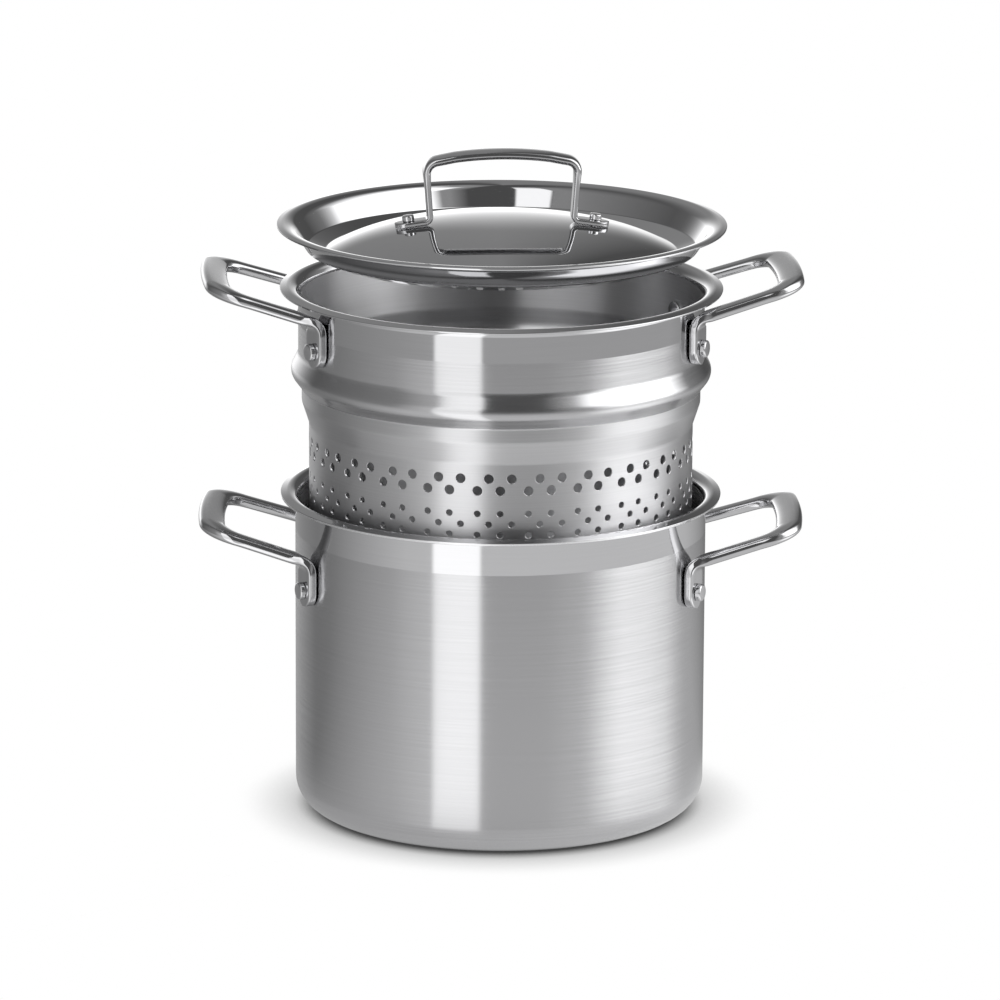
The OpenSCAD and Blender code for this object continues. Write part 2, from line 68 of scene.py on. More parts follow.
# Sizes of the lid
LID_R, LID_T, LID_WALL_R, LID_WALL_Z, LID_CORNER_R = 111.5, 1.0, 96.3, -11.3, 104.5
LID_CORNER_Z = (LID_R - LID_CORNER_R) * math.tan(math.radians(9.0))
GROOVE_R, GROOVE_Z, DOME_H, DOME_R, FLANGE_R, GROOVE_BEND = 87.6, -14.5, 15.7, 520.0, 8.0, 1.4
DOME_TOP, DOME_DROOP = DOME_H + GROOVE_Z, DOME_H - GROOVE_R ** 2 / (2 * DOME_R)
LID_RIVET_R = 45.9
LID_EDGE_UNDER, LID_EDGE_TOP = 0.25, 0.3

# How finely round forms are cut
AROUND, BEND_STEPS, LID_BEND_STEPS, EDGE_CUTS = 288, 10, 14, 4
AXIS_R, SAME_PLACE = 1e-6, 1e-5


# Meshes
class Shell:
    """Faces with their own corner normals, turned to agree with them."""

    def __init__(self):
        self.verts, self.faces, self.normals, self.slots = [], [], [], []

    def point(self, x, y, z):
        self.verts.append((x, y, z))
        return len(self.verts) - 1

    def face(self, corners, normals, slot=0):
        a, b, c = (Vector(self.verts[corners[k]]) for k in (0, 1, 2))
        flat = (b - a).cross(c - b)
        if len(corners) > 3:
            flat += (c - b).cross(Vector(self.verts[corners[3]]) - c)
        if flat.dot(sum((Vector(n) for n in normals), Vector())) < 0:
            corners, normals = corners[::-1], normals[::-1]
        self.faces.append(tuple(corners))
        self.normals += [tuple(Vector(n).normalized()) for n in normals]
        self.slots.append(slot)

    def make(self, name, materials, turn=0.0, lift=0.0):
        spin = Matrix.Rotation(turn, 3, "Z")
        up = Vector((0, 0, lift))
        mesh = bpy.data.meshes.new(name)
        mesh.from_pydata([(spin @ Vector(v) + up) * MM for v in self.verts], [], self.faces)
        for m in materials:
            mesh.materials.append(m)
        for poly, slot in zip(mesh.polygons, self.slots):
            poly.material_index = slot
            poly.use_smooth = True
        mesh.normals_split_custom_set([tuple(spin @ Vector(n)) for n in self.normals])
        obj = bpy.data.objects.new(name, mesh)
        bpy.context.scene.collection.objects.link(obj)
        return obj


def arc(a, b, c, r, steps):
    """Points and directions of the arc that rounds corner b between a and c."""
    a, b, c = Vector(a), Vector(b), Vector(c)
    u, v = (a - b).normalized(), (c - b).normalized()
    half = math.acos(max(-1.0, min(1.0, u.dot(v)))) / 2
    centre = b + (u + v).normalized() * (r / math.sin(half))
    out = b + u * (r / math.tan(half)) - centre
    sweep = math.pi - 2 * half
    pts = []
    for i in range(steps + 1):
        t = sweep * i / steps
        pts.append((centre + out * math.cos(t) - u * r * math.sin(t),
                    -u * math.cos(t) - out.normalized() * math.sin(t)))
    return pts


def outline(pts, steps=BEND_STEPS):
    """Rounded outline: each entry is a point and the direction there."""
    out = []
    for i, (r, z, bend) in enumerate(pts):
        if bend > 0:
            a, c = pts[i - 1], pts[i + 1]
            out += arc((a[0], a[1]), (r, z), (c[0], c[1]), bend, steps)
        else:
            a, c = pts[max(i - 1, 0)], pts[min(i + 1, len(pts) - 1)]
            out.append((Vector((r, z)), (Vector((c[0], c[1])) - Vector((a[0], a[1]))).normalized()))
    return out


def left(t):
    return Vector((-t[1], t[0]))


def offset(line, d):
    """The outline moved to its left by d, with its directions."""
    return [(p + left(t) * d, t) for p, t in line]


def edge_round(p, t, d, r, side):
    """Rounded cut edge of a sheet, from its face to its end; side is 1 on the left, -1 on the right."""
    n = left(t)
    pts = []
    for k in range(1, EDGE_CUTS + 1):
        a = math.pi / 2 * k / EDGE_CUTS
        pts.append((p + n * (d - side * r * (1 - math.cos(a))) - t * r * (1 - math.sin(a)),
                    n * (side * math.cos(a)) + t * math.sin(a)))
    return pts


def loop_of(line, d0, d1, r0, r1):
    """Closed profile of a sheet between two offsets: points and outward normals, from the axis and back."""
    near = [(p, -left(t)) for p, t in offset(line, d0)]
    far = [(p, left(t)) for p, t in offset(line, d1)]
    p, t = line[-1]
    n = left(t)
    near[-1] = (p + n * d0 - t * r0, -n)
    far[-1] = (p + n * d1 - t * r1, n)
    end = edge_round(p, t, d0, r0, -1) if r0 else [(near[-1][0], t)]
    end += edge_round(p, t, d1, r1, 1)[::-1] if r1 else [(far[-1][0], t)]
    return near + end + far[::-1]


def ring(shell, r, z, angles):
    if r < AXIS_R:
        return [shell.point(0, 0, z)]
    return [shell.point(r * math.cos(a), r * math.sin(a), z) for a in angles]


def spun(n, a):
    return (n[0] * math.cos(a), n[0] * math.sin(a), n[1])


def strip(shell, one, n1, two, n2, angles, slot):
    """Band of faces between two rings, or a fan from the axis."""
    count = len(angles)
    for i in range(count):
        j = (i + 1) % count
        a, b = angles[i], angles[j]
        if len(one) == 1:
            shell.face([one[0], two[i], two[j]], [spun(n1, a), spun(n2, a), spun(n2, b)], slot)
        elif len(two) == 1:
            shell.face([one[j], one[i], two[0]], [spun(n1, b), spun(n1, a), spun(n2, a)], slot)
        else:
            shell.face([one[i], one[j], two[j], two[i]],
                       [spun(n1, a), spun(n1, b), spun(n2, b), spun(n2, a)], slot)


def lathe(shell, profile, angles, slot_of):
    """Turns a profile; neighbouring entries at one place are a crease and share their points."""
    rings = []
    for i, (p, n) in enumerate(profile):
        if i and (p - profile[i - 1][0]).length < SAME_PLACE:
            rings.append(rings[-1])
        else:
            rings.append(ring(shell, p[0], p[1], angles))
    for i in range(len(profile) - 1):
        if rings[i] is not rings[i + 1]:
            middle = (profile[i][0] + profile[i + 1][0]) / 2
            strip(shell, rings[i], profile[i][1], rings[i + 1], profile[i + 1][1], angles,
                  slot_of(middle, profile[i][1]))


def even(count):
    return [2 * math.pi * i / count for i in range(count)]


def lip(wall_r, rim_r, z, t, r):
    """The last two outline points of a wall that bends outwards to a rim."""
    under_r, under_z = rim_r - t * math.sin(LIP_FALL), z - t * math.cos(LIP_FALL)
    return [(wall_r, under_z + (under_r - wall_r) * math.tan(LIP_FALL), r), (under_r, under_z, 0)]


# Materials
NOISE_LOW, NOISE_HIGH = 0.3, 0.7
CLOUD_SCALE, CLOUD_DETAIL, CLOUD_SHARE = (14, 14, 14), 2.0, 0.3
MIX_VALUE_A, MIX_VALUE_B, MIX_VALUE_OUT = 2, 3, 0
MIX_COLOUR_A, MIX_COLOUR_B, MIX_COLOUR_OUT = 6, 7, 2
QUARTER_TURN = 0.25


def node(tree, kind, **settings):
    made = tree.nodes.new(kind)
    for key, value in settings.items():
        setattr(made, key, value)
    return made


def lines_noise(tree, scale, detail=3.0, rough=0.6):
    """Noise drawn out along the directions whose scale is small; scales are per metre."""
    coords = node(tree, "ShaderNodeTexCoord")
    stretch = node(tree, "ShaderNodeMapping")
    stretch.inputs["Scale"].default_value = scale
    tree.links.new(coords.outputs["Object"], stretch.inputs["Vector"])
    noise = node(tree, "ShaderNodeTexNoise")
    noise.inputs["Scale"].default_value = 1.0
    noise.inputs["Detail"].default_value = detail
    noise.inputs["Roughness"].default_value = rough
    tree.links.new(stretch.outputs["Vector"], noise.inputs["Vector"])
    return noise.outputs["Fac"]


def spread(tree, value, low, high):
    """The middle range of a noise, stretched to run from low to high."""
    stretch = node(tree, "ShaderNodeMapRange")
    stretch.inputs["From Min"].default_value = NOISE_LOW
    stretch.inputs["From Max"].default_value = NOISE_HIGH
    stretch.inputs["To Min"].default_value = low
    stretch.inputs["To Max"].default_value = high
    tree.links.new(value, stretch.inputs["Value"])
    return stretch.outputs["Result"]


def steel(name, tone, rough, scale, rough_change=0.2, tone_change=0.04, bump=0.0, anisotropic=0.0):
    """Steel with grain drawn out by scale, in its tone, its roughness and, if asked, its relief."""
    mat = bpy.data.materials.new(name)
    mat.use_nodes = True
    tree = mat.node_tree
    shader = tree.nodes["Principled BSDF"]
    shader.inputs["Metallic"].default_value = 1.0
    grain = lines_noise(tree, scale)
    cloud = lines_noise(tree, CLOUD_SCALE, CLOUD_DETAIL)
    both = node(tree, "ShaderNodeMix", data_type="FLOAT")
    both.inputs["Factor"].default_value = CLOUD_SHARE
    tree.links.new(grain, both.inputs[MIX_VALUE_A])
    tree.links.new(cloud, both.inputs[MIX_VALUE_B])
    mixed = both.outputs[MIX_VALUE_OUT]
    colour = node(tree, "ShaderNodeMix", data_type="RGBA")
    colour.inputs[MIX_COLOUR_A].default_value = [c * (1 - tone_change) for c in tone] + [1]
    colour.inputs[MIX_COLOUR_B].default_value = [c * (1 + tone_change) for c in tone] + [1]
    tree.links.new(spread(tree, mixed, 0, 1), colour.inputs[0])
    tree.links.new(colour.outputs[MIX_COLOUR_OUT], shader.inputs["Base Color"])
    tree.links.new(spread(tree, mixed, rough * (1 - rough_change), rough * (1 + rough_change)),
                   shader.inputs["Roughness"])
    if anisotropic:
        shader.inputs["Anisotropic"].default_value = anisotropic
        shader.inputs["Anisotropic Rotation"].default_value = QUARTER_TURN
        round_z = node(tree, "ShaderNodeTangent", direction_type="RADIAL", axis="Z")
        tree.links.new(round_z.outputs["Tangent"], shader.inputs["Tangent"])
    if bump:
        relief = node(tree, "ShaderNodeBump")
        relief.inputs["Strength"].default_value = 1.0
        relief.inputs["Distance"].default_value = bump
        tree.links.new(grain, relief.inputs["Height"])
        tree.links.new(relief.outputs["Normal"], shader.inputs["Normal"])
    return mat


STEEL, BRUSHED, DRAWN = (0.62, 0.62, 0.63), (0.60, 0.60, 0.61), (0.63, 0.63, 0.64)
ALUMINIUM, RIVET_STEEL = (0.80, 0.80, 0.81), (0.66, 0.66, 0.67)
# Grain per metre along X, Y and Z: turned lines, brushed lines and an even fine grain
ROUND_LINES, BRUSH_LINES, FINE = (25, 25, 1800), (12, 12, 1300), (300, 300, 300)
pot_polish = steel("pot_polished", STEEL, 0.07, ROUND_LINES, 0.25, 0.02)
pot_brush = steel("pot_brushed", BRUSHED, 0.22, BRUSH_LINES, 0.12, 0.06, bump=0.00000025, anisotropic=1.0)
pot_inside = steel("pot_inside_satin", STEEL, 0.28, BRUSH_LINES, 0.12, 0.05, bump=0.0000002, anisotropic=1.0)
core_metal = steel("core_aluminium", ALUMINIUM, 0.3, FINE)
insert_polish = steel("insert_polished", STEEL, 0.07, ROUND_LINES, 0.25, 0.02)
insert_brush = steel("insert_brushed", BRUSHED, 0.20, BRUSH_LINES, 0.12, 0.05, bump=0.0000003,
                     anisotropic=1.0)
insert_drawn = steel("insert_drawn", DRAWN, 0.34, BRUSH_LINES, 0.12, 0.05, bump=0.0000004,
                     anisotropic=0.8)
insert_inner = steel("insert_inside_satin", STEEL, 0.30, BRUSH_LINES, 0.12, 0.05, bump=0.0000002,
                     anisotropic=1.0)
lid_polish = steel("lid_polished", STEEL, 0.045, FINE, 0.3, 0.015)
handle_metal = steel("handle_cast", BRUSHED, 0.09, FINE, 0.2, 0.03, bump=0.000002)
rivet_metal = steel("rivet_head", RIVET_STEEL, 0.11, FINE, 0.2, 0.03)


# Pot
pot_line = outline([(0, 0, 0), (POT_RO, 0, POT_CORNER), (POT_RO, POT_FINISH_Z, 0)]
                   + lip(POT_RO, POT_RIM_R, POT_H, POT_T, POT_LIP_R))


def pot_layer(name, node_name, d0, d1, r0, r1, materials, slot_of):
    """One bonded layer, between two offsets of the pot's outline."""
    shell = Shell()
    lathe(shell, loop_of(pot_line, d0, d1, r0, r1), even(AROUND), slot_of)
    piece = shell.make(name, materials)
    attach(piece, "pot")
    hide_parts(node_name)


pot_layer("pot_outer_skin", "pot_outer_steel", 0, OUTER_T, POT_EDGE, 0,
          [pot_polish, pot_brush], lambda p, n: 0 if p[1] > POT_FINISH_Z else 1)
pot_layer("pot_core_sheet", "pot_aluminium_core", OUTER_T, OUTER_T + CORE_T, 0, 0,
          [core_metal], lambda p, n: 0)
pot_layer("pot_inner_skin", "pot_inner_steel", OUTER_T + CORE_T, POT_T, 0, POT_EDGE,
          [pot_polish, pot_inside], lambda p, n: 0 if p[1] > POT_H - POT_INSIDE_POLISH else 1)


# Insert
neck_top = BEAD_PEAK_Z - (BEAD_PEAK_R - NECK_R) * math.tan(SEAT_SLOPE)
taper_top = neck_top - NECK_H
taper_foot = taper_top - TAPER_H
insert_line = outline([(0, -INSERT_H, 0), (BASKET_R, -INSERT_H, INSERT_CORNER),
                       (BASKET_R, taper_foot, INSERT_BEND_R), (NECK_R, taper_top, INSERT_BEND_R),
                       (NECK_R, neck_top, NECK_BEND_R), (BEAD_PEAK_R, BEAD_PEAK_Z, BEAD_R),
                       (COLLAR_R, -COLLAR_H, INSERT_BEND_R), (COLLAR_R, INSERT_FINISH_Z, 0)]
                      + lip(COLLAR_R, INSERT_RIM_R, 0, INSERT_T, INSERT_LIP_R))

# Angles round the drilled band, so that each hole has its own cell; other rings use every third one
PER_COLUMN, GAP_STEPS, COARSE_STEP = 6, 3, 3
PER_GROUP = COLUMNS * PER_COLUMN + GAP_STEPS
fine = []
for g in range(GROUPS):
    start = PATTERN_TURN + 360 / GROUPS * g - COLUMNS / 2 * COLUMN_TURN
    fine += [start + COLUMN_TURN * k / PER_COLUMN for k in range(COLUMNS * PER_COLUMN)]
    left_over = 360 / GROUPS - COLUMNS * COLUMN_TURN
    fine += [start + COLUMNS * COLUMN_TURN + left_over * k / GAP_STEPS for k in range(GAP_STEPS)]
fine = [math.radians(a) for a in fine]
coarse = fine[::COARSE_STEP]

# Heights of the band's grid from the top down, and the levels between which each row of cells lies
BAND_TOP, BAND_FOOT = -71.5, -108.0
LARGE_CELL, SMALL_CELL, CELL_PARTS = 2.7, 2.1, 6
hole_rows = [(z, LARGE_D / 2, LARGE_CELL) for z in LARGE_ROWS]
hole_rows += [(z, SMALL_D / 2, SMALL_CELL) for z in SMALL_ROWS]
levels, spans = [BAND_TOP], []
for z, _, half in hole_rows:
    first = len(levels)
    levels += [z + half - 2 * half * k / CELL_PARTS for k in range(CELL_PARTS + 1)]
    spans.append((first, first + CELL_PARTS))
levels.append(BAND_FOOT)

# Each hole's first angle and its row: the columns of a group take turns between two sets of rows
hole_cells = []
for g in range(GROUPS):
    for c in range(COLUMNS):
        rows = [0 if c % 2 else 1]
        rows += [len(LARGE_ROWS) + k for k in range(c % 2, len(SMALL_ROWS), 2)]
        hole_cells += [(g * PER_GROUP + c * PER_COLUMN, row) for row in rows]

OUT_POLISH, OUT_BRUSH, OUT_DRAWN, IN_SATIN = 0, 1, 2, 3
LIP_MARGIN, LIP_FOOT_Z = 0.2, -10.0
SIDEWAYS, DOWNWARDS, UNDERSIDE_Z = 0.02, -0.5, -100.0
CHAMFER_LEAN, BASE_HOLE_SIDES = 0.6, 28


def facing(sign, a):
    """Normal of an upright wall at an angle: outwards for sign 1, inwards for sign -1."""
    return (sign * math.cos(a), sign * math.sin(a), 0)


def stitch(shell, few, many, sign, slot):
    """Joins a ring to one on the same wall with three times its points."""
    for i in range(len(few)):
        j, k = (i + 1) % len(few), COARSE_STEP * i
        m = [many[(k + s) % len(many)] for s in range(COARSE_STEP + 1)]
        n = [facing(sign, fine[(k + s) % len(many)]) for s in range(COARSE_STEP + 1)]
        a, b = facing(sign, coarse[i]), facing(sign, coarse[j])
        shell.face([few[i], m[0], m[1]], [a, n[0], n[1]], slot)
        shell.face([few[i], m[1], m[2], few[j]], [a, n[1], n[2], b], slot)
        shell.face([few[j], m[2], m[3]], [b, n[2], n[3]], slot)


def hole_mouth(shell, cell, radius, sign, at, slot):
    """Faces from the cell round one hole down its chamfer; returns the last ring and its normals."""
    i0, row = cell
    first, last = spans[row]
    middle, height, r = fine[i0 + PER_COLUMN // 2], hole_rows[row][0], hole_rows[row][1]
    around = ([(i0 + k, first) for k in range(PER_COLUMN)]
              + [(i0 + PER_COLUMN, j) for j in range(first, last)]
              + [(i0 + PER_COLUMN - k, last) for k in range(PER_COLUMN)]
              + [(i0, j) for j in range(last, first, -1)])
    turns = []
    for i, j in around:
        side = (fine[i % len(fine)] - middle + math.pi) % (2 * math.pi) - math.pi
        turns.append(math.atan2(levels[j] - height, side * radius))
    rings = []
    for size, depth in ((r + CHAMFER, 0), (r, CHAMFER)):
        here = radius - sign * depth
        rings.append([shell.point(here * math.cos(middle + size * math.cos(t) / radius),
                                  here * math.sin(middle + size * math.cos(t) / radius),
                                  height + size * math.sin(t)) for t in turns])
    edge = [at(i, j) for i, j in around]
    out = Vector(facing(sign, middle))
    across = Vector((-math.sin(middle), math.cos(middle), 0))
    inward = [-(across * math.cos(t) + Vector((0, 0, math.sin(t)))) for t in turns]
    for k in range(len(around)):
        q = (k + 1) % len(around)
        a, b = (facing(sign, fine[around[m][0] % len(fine)]) for m in (k, q))
        shell.face([edge[k], edge[q], rings[0][q], rings[0][k]], [a, b, out, out], slot)
        shell.face([rings[0][k], rings[0][q], rings[1][q], rings[1][k]],
                   [out + inward[k] * CHAMFER_LEAN, out + inward[q] * CHAMFER_LEAN,
                    out * CHAMFER_LEAN + inward[q], out * CHAMFER_LEAN + inward[k]], slot)
    return rings[1], inward


def hole_wall(shell, radius, sign, slot):
    """Grid of the drilled wall on one side; returns its end rings and the mouth of each hole."""
    grid = {}
    count = len(fine)

    def at(i, j):
        i %= count
        if (i, j) not in grid:
            grid[(i, j)] = shell.point(radius * math.cos(fine[i]), radius * math.sin(fine[i]), levels[j])
        return grid[(i, j)]

    inside = set()
    for i0, row in hole_cells:
        first, last = spans[row]
        inside |= {(i, j) for i in range(i0, i0 + PER_COLUMN) for j in range(first, last)}
    for i in range(count):
        a, b = facing(sign, fine[i]), facing(sign, fine[(i + 1) % count])
        for j in range(len(levels) - 1):
            if (i, j) not in inside:
                shell.face([at(i, j), at(i + 1, j), at(i + 1, j + 1), at(i, j + 1)], [a, b, b, a], slot)
    mouths = {cell: hole_mouth(shell, cell, radius, sign, at, slot) for cell in hole_cells}
    return [at(i, 0) for i in range(count)], [at(i, len(levels) - 1) for i in range(count)], mouths


def base_holes(shell):
    """Walls of the round holes in the base; returns their lower and their upper rings."""
    lower, upper = [], []
    turns = even(BASE_HOLE_SIDES)
    for lap in range(BASE_RINGS + 1):
        holes = max(RING_HOLES * lap, 1)
        for k in range(holes):
            a = math.radians(PATTERN_TURN + 360 * k / holes)
            x, y = lap * BASE_STEP * math.cos(a), lap * BASE_STEP * math.sin(a)
            circle = [(x + LARGE_D / 2 * math.cos(t), y + LARGE_D / 2 * math.sin(t)) for t in turns]
            low = [shell.point(cx, cy, -INSERT_H) for cx, cy in circle]
            high = [shell.point(cx, cy, -INSERT_H + INSERT_T) for cx, cy in circle]
            lower.append(low)
            upper.append(high)
            for s in range(BASE_HOLE_SIDES):
                e = (s + 1) % BASE_HOLE_SIDES
                a0, a1 = facing(-1, turns[s]), facing(-1, turns[e])
                shell.face([low[s], low[e], high[e], high[s]], [a0, a1, a1, a0], IN_SATIN)
    return lower, upper


def drilled_base(shell, rim, holes, up, slot):
    """Flat base inside a ring of points, with a hole inside each of the other rings."""
    loops = [rim] + holes
    flat = [[Vector(shell.verts[i]) for i in loop] for loop in loops]
    index = [i for loop in loops for i in loop]
    for tri in tessellate_polygon(flat):
        shell.face([index[k] for k in tri], [(0, 0, up)] * 3, slot)


def insert_slot(p, n):
    """Material at a place on the profile: polished top, brushed band and bead, drawn wall, satin inside."""
    if p[0] > COLLAR_R - INSERT_T - LIP_MARGIN and p[1] > LIP_FOOT_Z:
        return OUT_POLISH
    if n[0] <= SIDEWAYS and not (n[1] < DOWNWARDS and p[1] < UNDERSIDE_Z):
        return IN_SATIN
    if p[1] < neck_top:
        return OUT_DRAWN
    return OUT_POLISH if p[1] > INSERT_FINISH_Z else OUT_BRUSH


def insert_basket():
    shell = Shell()
    profile = loop_of(insert_line, 0, INSERT_T, INSERT_EDGE, INSERT_EDGE)
    rings = []
    for i, (p, n) in enumerate(profile):
        if p[0] < AXIS_R:
            rings.append(None)
        elif i and (p - profile[i - 1][0]).length < SAME_PLACE:
            rings.append(rings[-1])
        else:
            rings.append(ring(shell, p[0], p[1], coarse))
    mouths = {}
    for i in range(len(profile) - 1):
        if rings[i] is None or rings[i + 1] is None or rings[i] is rings[i + 1]:
            continue
        (p, n), (q, m) = profile[i], profile[i + 1]
        slot = insert_slot((p + q) / 2, n)
        if min(p[1], q[1]) < BAND_FOOT and max(p[1], q[1]) > BAND_TOP:
            sign = 1 if n[0] > 0 else -1
            top, bottom, mouths[sign] = hole_wall(shell, p[0], sign, slot)
            low, high = (i, i + 1) if p[1] < q[1] else (i + 1, i)
            stitch(shell, rings[low], bottom, sign, slot)
            stitch(shell, rings[high], top, sign, slot)
        else:
            strip(shell, rings[i], n, rings[i + 1], m, coarse, slot)
    for cell, (outer, inward) in mouths[1].items():
        inner = mouths[-1][cell][0]
        for k in range(len(outer)):
            q = (k + 1) % len(outer)
            shell.face([outer[k], outer[q], inner[q], inner[k]],
                       [inward[k], inward[q], inward[q], inward[k]], OUT_DRAWN)
    lower, upper = base_holes(shell)
    drilled_base(shell, rings[1], lower, -1, OUT_DRAWN)
    drilled_base(shell, rings[-2], upper, 1, IN_SATIN)
    return shell.make("insert_shell", [insert_polish, insert_brush, insert_drawn, insert_inner],
                      INSERT_TURN, INSERT_Z)


basket = insert_basket()
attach(basket, "insert")
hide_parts("insert_basket")


# Lid
def dome_z(r):
    return DOME_TOP - r * r / (2 * DOME_R) - DOME_DROOP * (r / GROOVE_R) ** 4


def dome_slope(r):
    return -r / DOME_R - 4 * DOME_DROOP * r ** 3 / GROOVE_R ** 4


DOME_STEPS = 40
dome = []
for i in range(DOME_STEPS):
    r = GROOVE_R * i / DOME_STEPS
    dome.append((Vector((r, dome_z(r))), Vector((1, dome_slope(r))).normalized()))
last_r = GROOVE_R * (1 - 1 / DOME_STEPS)
rim_line = outline([(last_r, dome_z(last_r), 0), (GROOVE_R, GROOVE_Z, GROOVE_BEND),
                    (LID_WALL_R, LID_WALL_Z, GROOVE_BEND), (LID_CORNER_R, LID_CORNER_Z, FLANGE_R),
                    (LID_R, 0, 0)], LID_BEND_STEPS)
lid_line = dome + rim_line[1:]
lid_shell = Shell()
lathe(lid_shell, loop_of(lid_line, -LID_T, 0, LID_EDGE_UNDER, LID_EDGE_TOP), even(AROUND), lambda p, n: 0)
lid = lid_shell.make("lid_shell", [lid_polish], INSERT_TURN, LID_Z)
# The insert is lit inside as in the photograph, where no lid hangs over it in its reflections
lid.visible_glossy = False
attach(lid, "lid")
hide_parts("lid_disc")


# Swept castings
SIDES = 48
SHARP = math.radians(50)
# Squareness of a section: flat bars, the lid's legs and the grips
FLAT, LEG_SQUARE, OVAL = 6.0, 4.0, 2.6


def power(x, n):
    return math.copysign(abs(x) ** (2 / n), x)


def ease(x):
    t = min(max(x, 0.0), 1.0)
    return t * t * (3 - 2 * t)


def mix(a, b, t):
    return a + (b - a) * t


def foot_half(w, s):
    """Half width of a foot with a round end, at s from its tip."""
    return math.sqrt(max((w / 2) ** 2 - (w / 2 - s) ** 2, 0)) if s < w / 2 else w / 2


def dense(route, step):
    """The route with long stretches cut to the given step."""
    out = [route[0]]
    for a, b in zip(route, route[1:]):
        parts = max(1, round((b - a).length / step))
        out += [a + (b - a) * k / parts for k in range(1, parts + 1)]
    return out


def bend3(a, b, c, r, steps=14):
    """Points of the arc that rounds corner b between a and c, in space."""
    u, v = (a - b).normalized(), (c - b).normalized()
    half = math.acos(u.dot(v)) / 2
    centre = b + (u + v).normalized() * (r / math.sin(half))
    out = b + u * (r / math.tan(half)) - centre
    sweep = math.pi - 2 * half
    return [centre + out * math.cos(sweep * i / steps) - u * r * math.sin(sweep * i / steps)
            for i in range(steps + 1)]


def heading(route, i):
    """Direction of the route at one of its points."""
    return (route[min(i + 1, len(route) - 1)] - route[max(i - 1, 0)]).normalized()


def with_mirror(half, flip):
    """The stations of one half, then those of its mirror image from the middle outwards."""
    other = [tuple([Vector(c * f for c, f in zip(v, flip)) for v in station[:3]]) + (station[3],)
             for station in half[-2::-1]]
    return half + other


def swept(name, stations, body, node_name, material, turn, lift):
    """Solid through stations of centre, half width, half thickness and squareness."""
    verts, faces = [], []
    for centre, wide, thick, square in stations:
        for k in range(SIDES):
            a = 2 * math.pi * (k + 0.5) / SIDES
            verts.append(centre + wide * power(math.cos(a), square) + thick * power(math.sin(a), square))
    for i in range(len(stations) - 1):
        for k in range(SIDES):
            q = (k + 1) % SIDES
            faces.append((i * SIDES + k, i * SIDES + q, (i + 1) * SIDES + q, (i + 1) * SIDES + k))
    last = (len(stations) - 1) * SIDES
    faces += [tuple(range(SIDES)), tuple(last + k for k in range(SIDES))]
    spin = Matrix.Rotation(turn, 3, "Z")
    mesh = bpy.data.meshes.new(name)
    mesh.from_pydata([(spin @ v + Vector((0, 0, lift))) * MM for v in verts], [], faces)
    mesh.materials.append(material)
    piece = bpy.data.objects.new(name, mesh)
    bpy.context.scene.collection.objects.link(piece)
    for poly in mesh.polygons:
        poly.use_smooth = True
    work = bmesh.new()
    work.from_mesh(mesh)
    bmesh.ops.recalc_face_normals(work, faces=work.faces)
    work.to_mesh(mesh)
    work.free()
    mesh.set_sharp_from_angle(angle=SHARP)
    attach(piece, body)
    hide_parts(node_name)


# Side handles
LOOP_W, LOOP_REACH, LOOP_RISE, FOOT_SPAN, FOOT_W = 88.5, 48.2, math.radians(17.0), 85.0, 15.0
FOOT_BELOW, FOOT_T, ARM_ABOVE, ARM_W, ARM_T = 8.0, 4.7, 14.3, 9.8, 5.8
PAD_W, PAD_T, PAD_BOW, LOOP_CORNER, FOOT_BEND, FOOT_STEPS = 13.2, 6.8, 2.5, 12.5, 6.0, 12
LOOP_STEP, LOOP_CORNER_STEPS = 1.6, 24
# Lengths over which foot turns to arm and arm to grip, in radii of the bend there
ARM_BLEND, GRIP_LEAD, GRIP_BLEND = 2.2, 1.4, 1.6


def foot_turn(wall_r):
    return math.asin(FOOT_SPAN / 2 / wall_r)


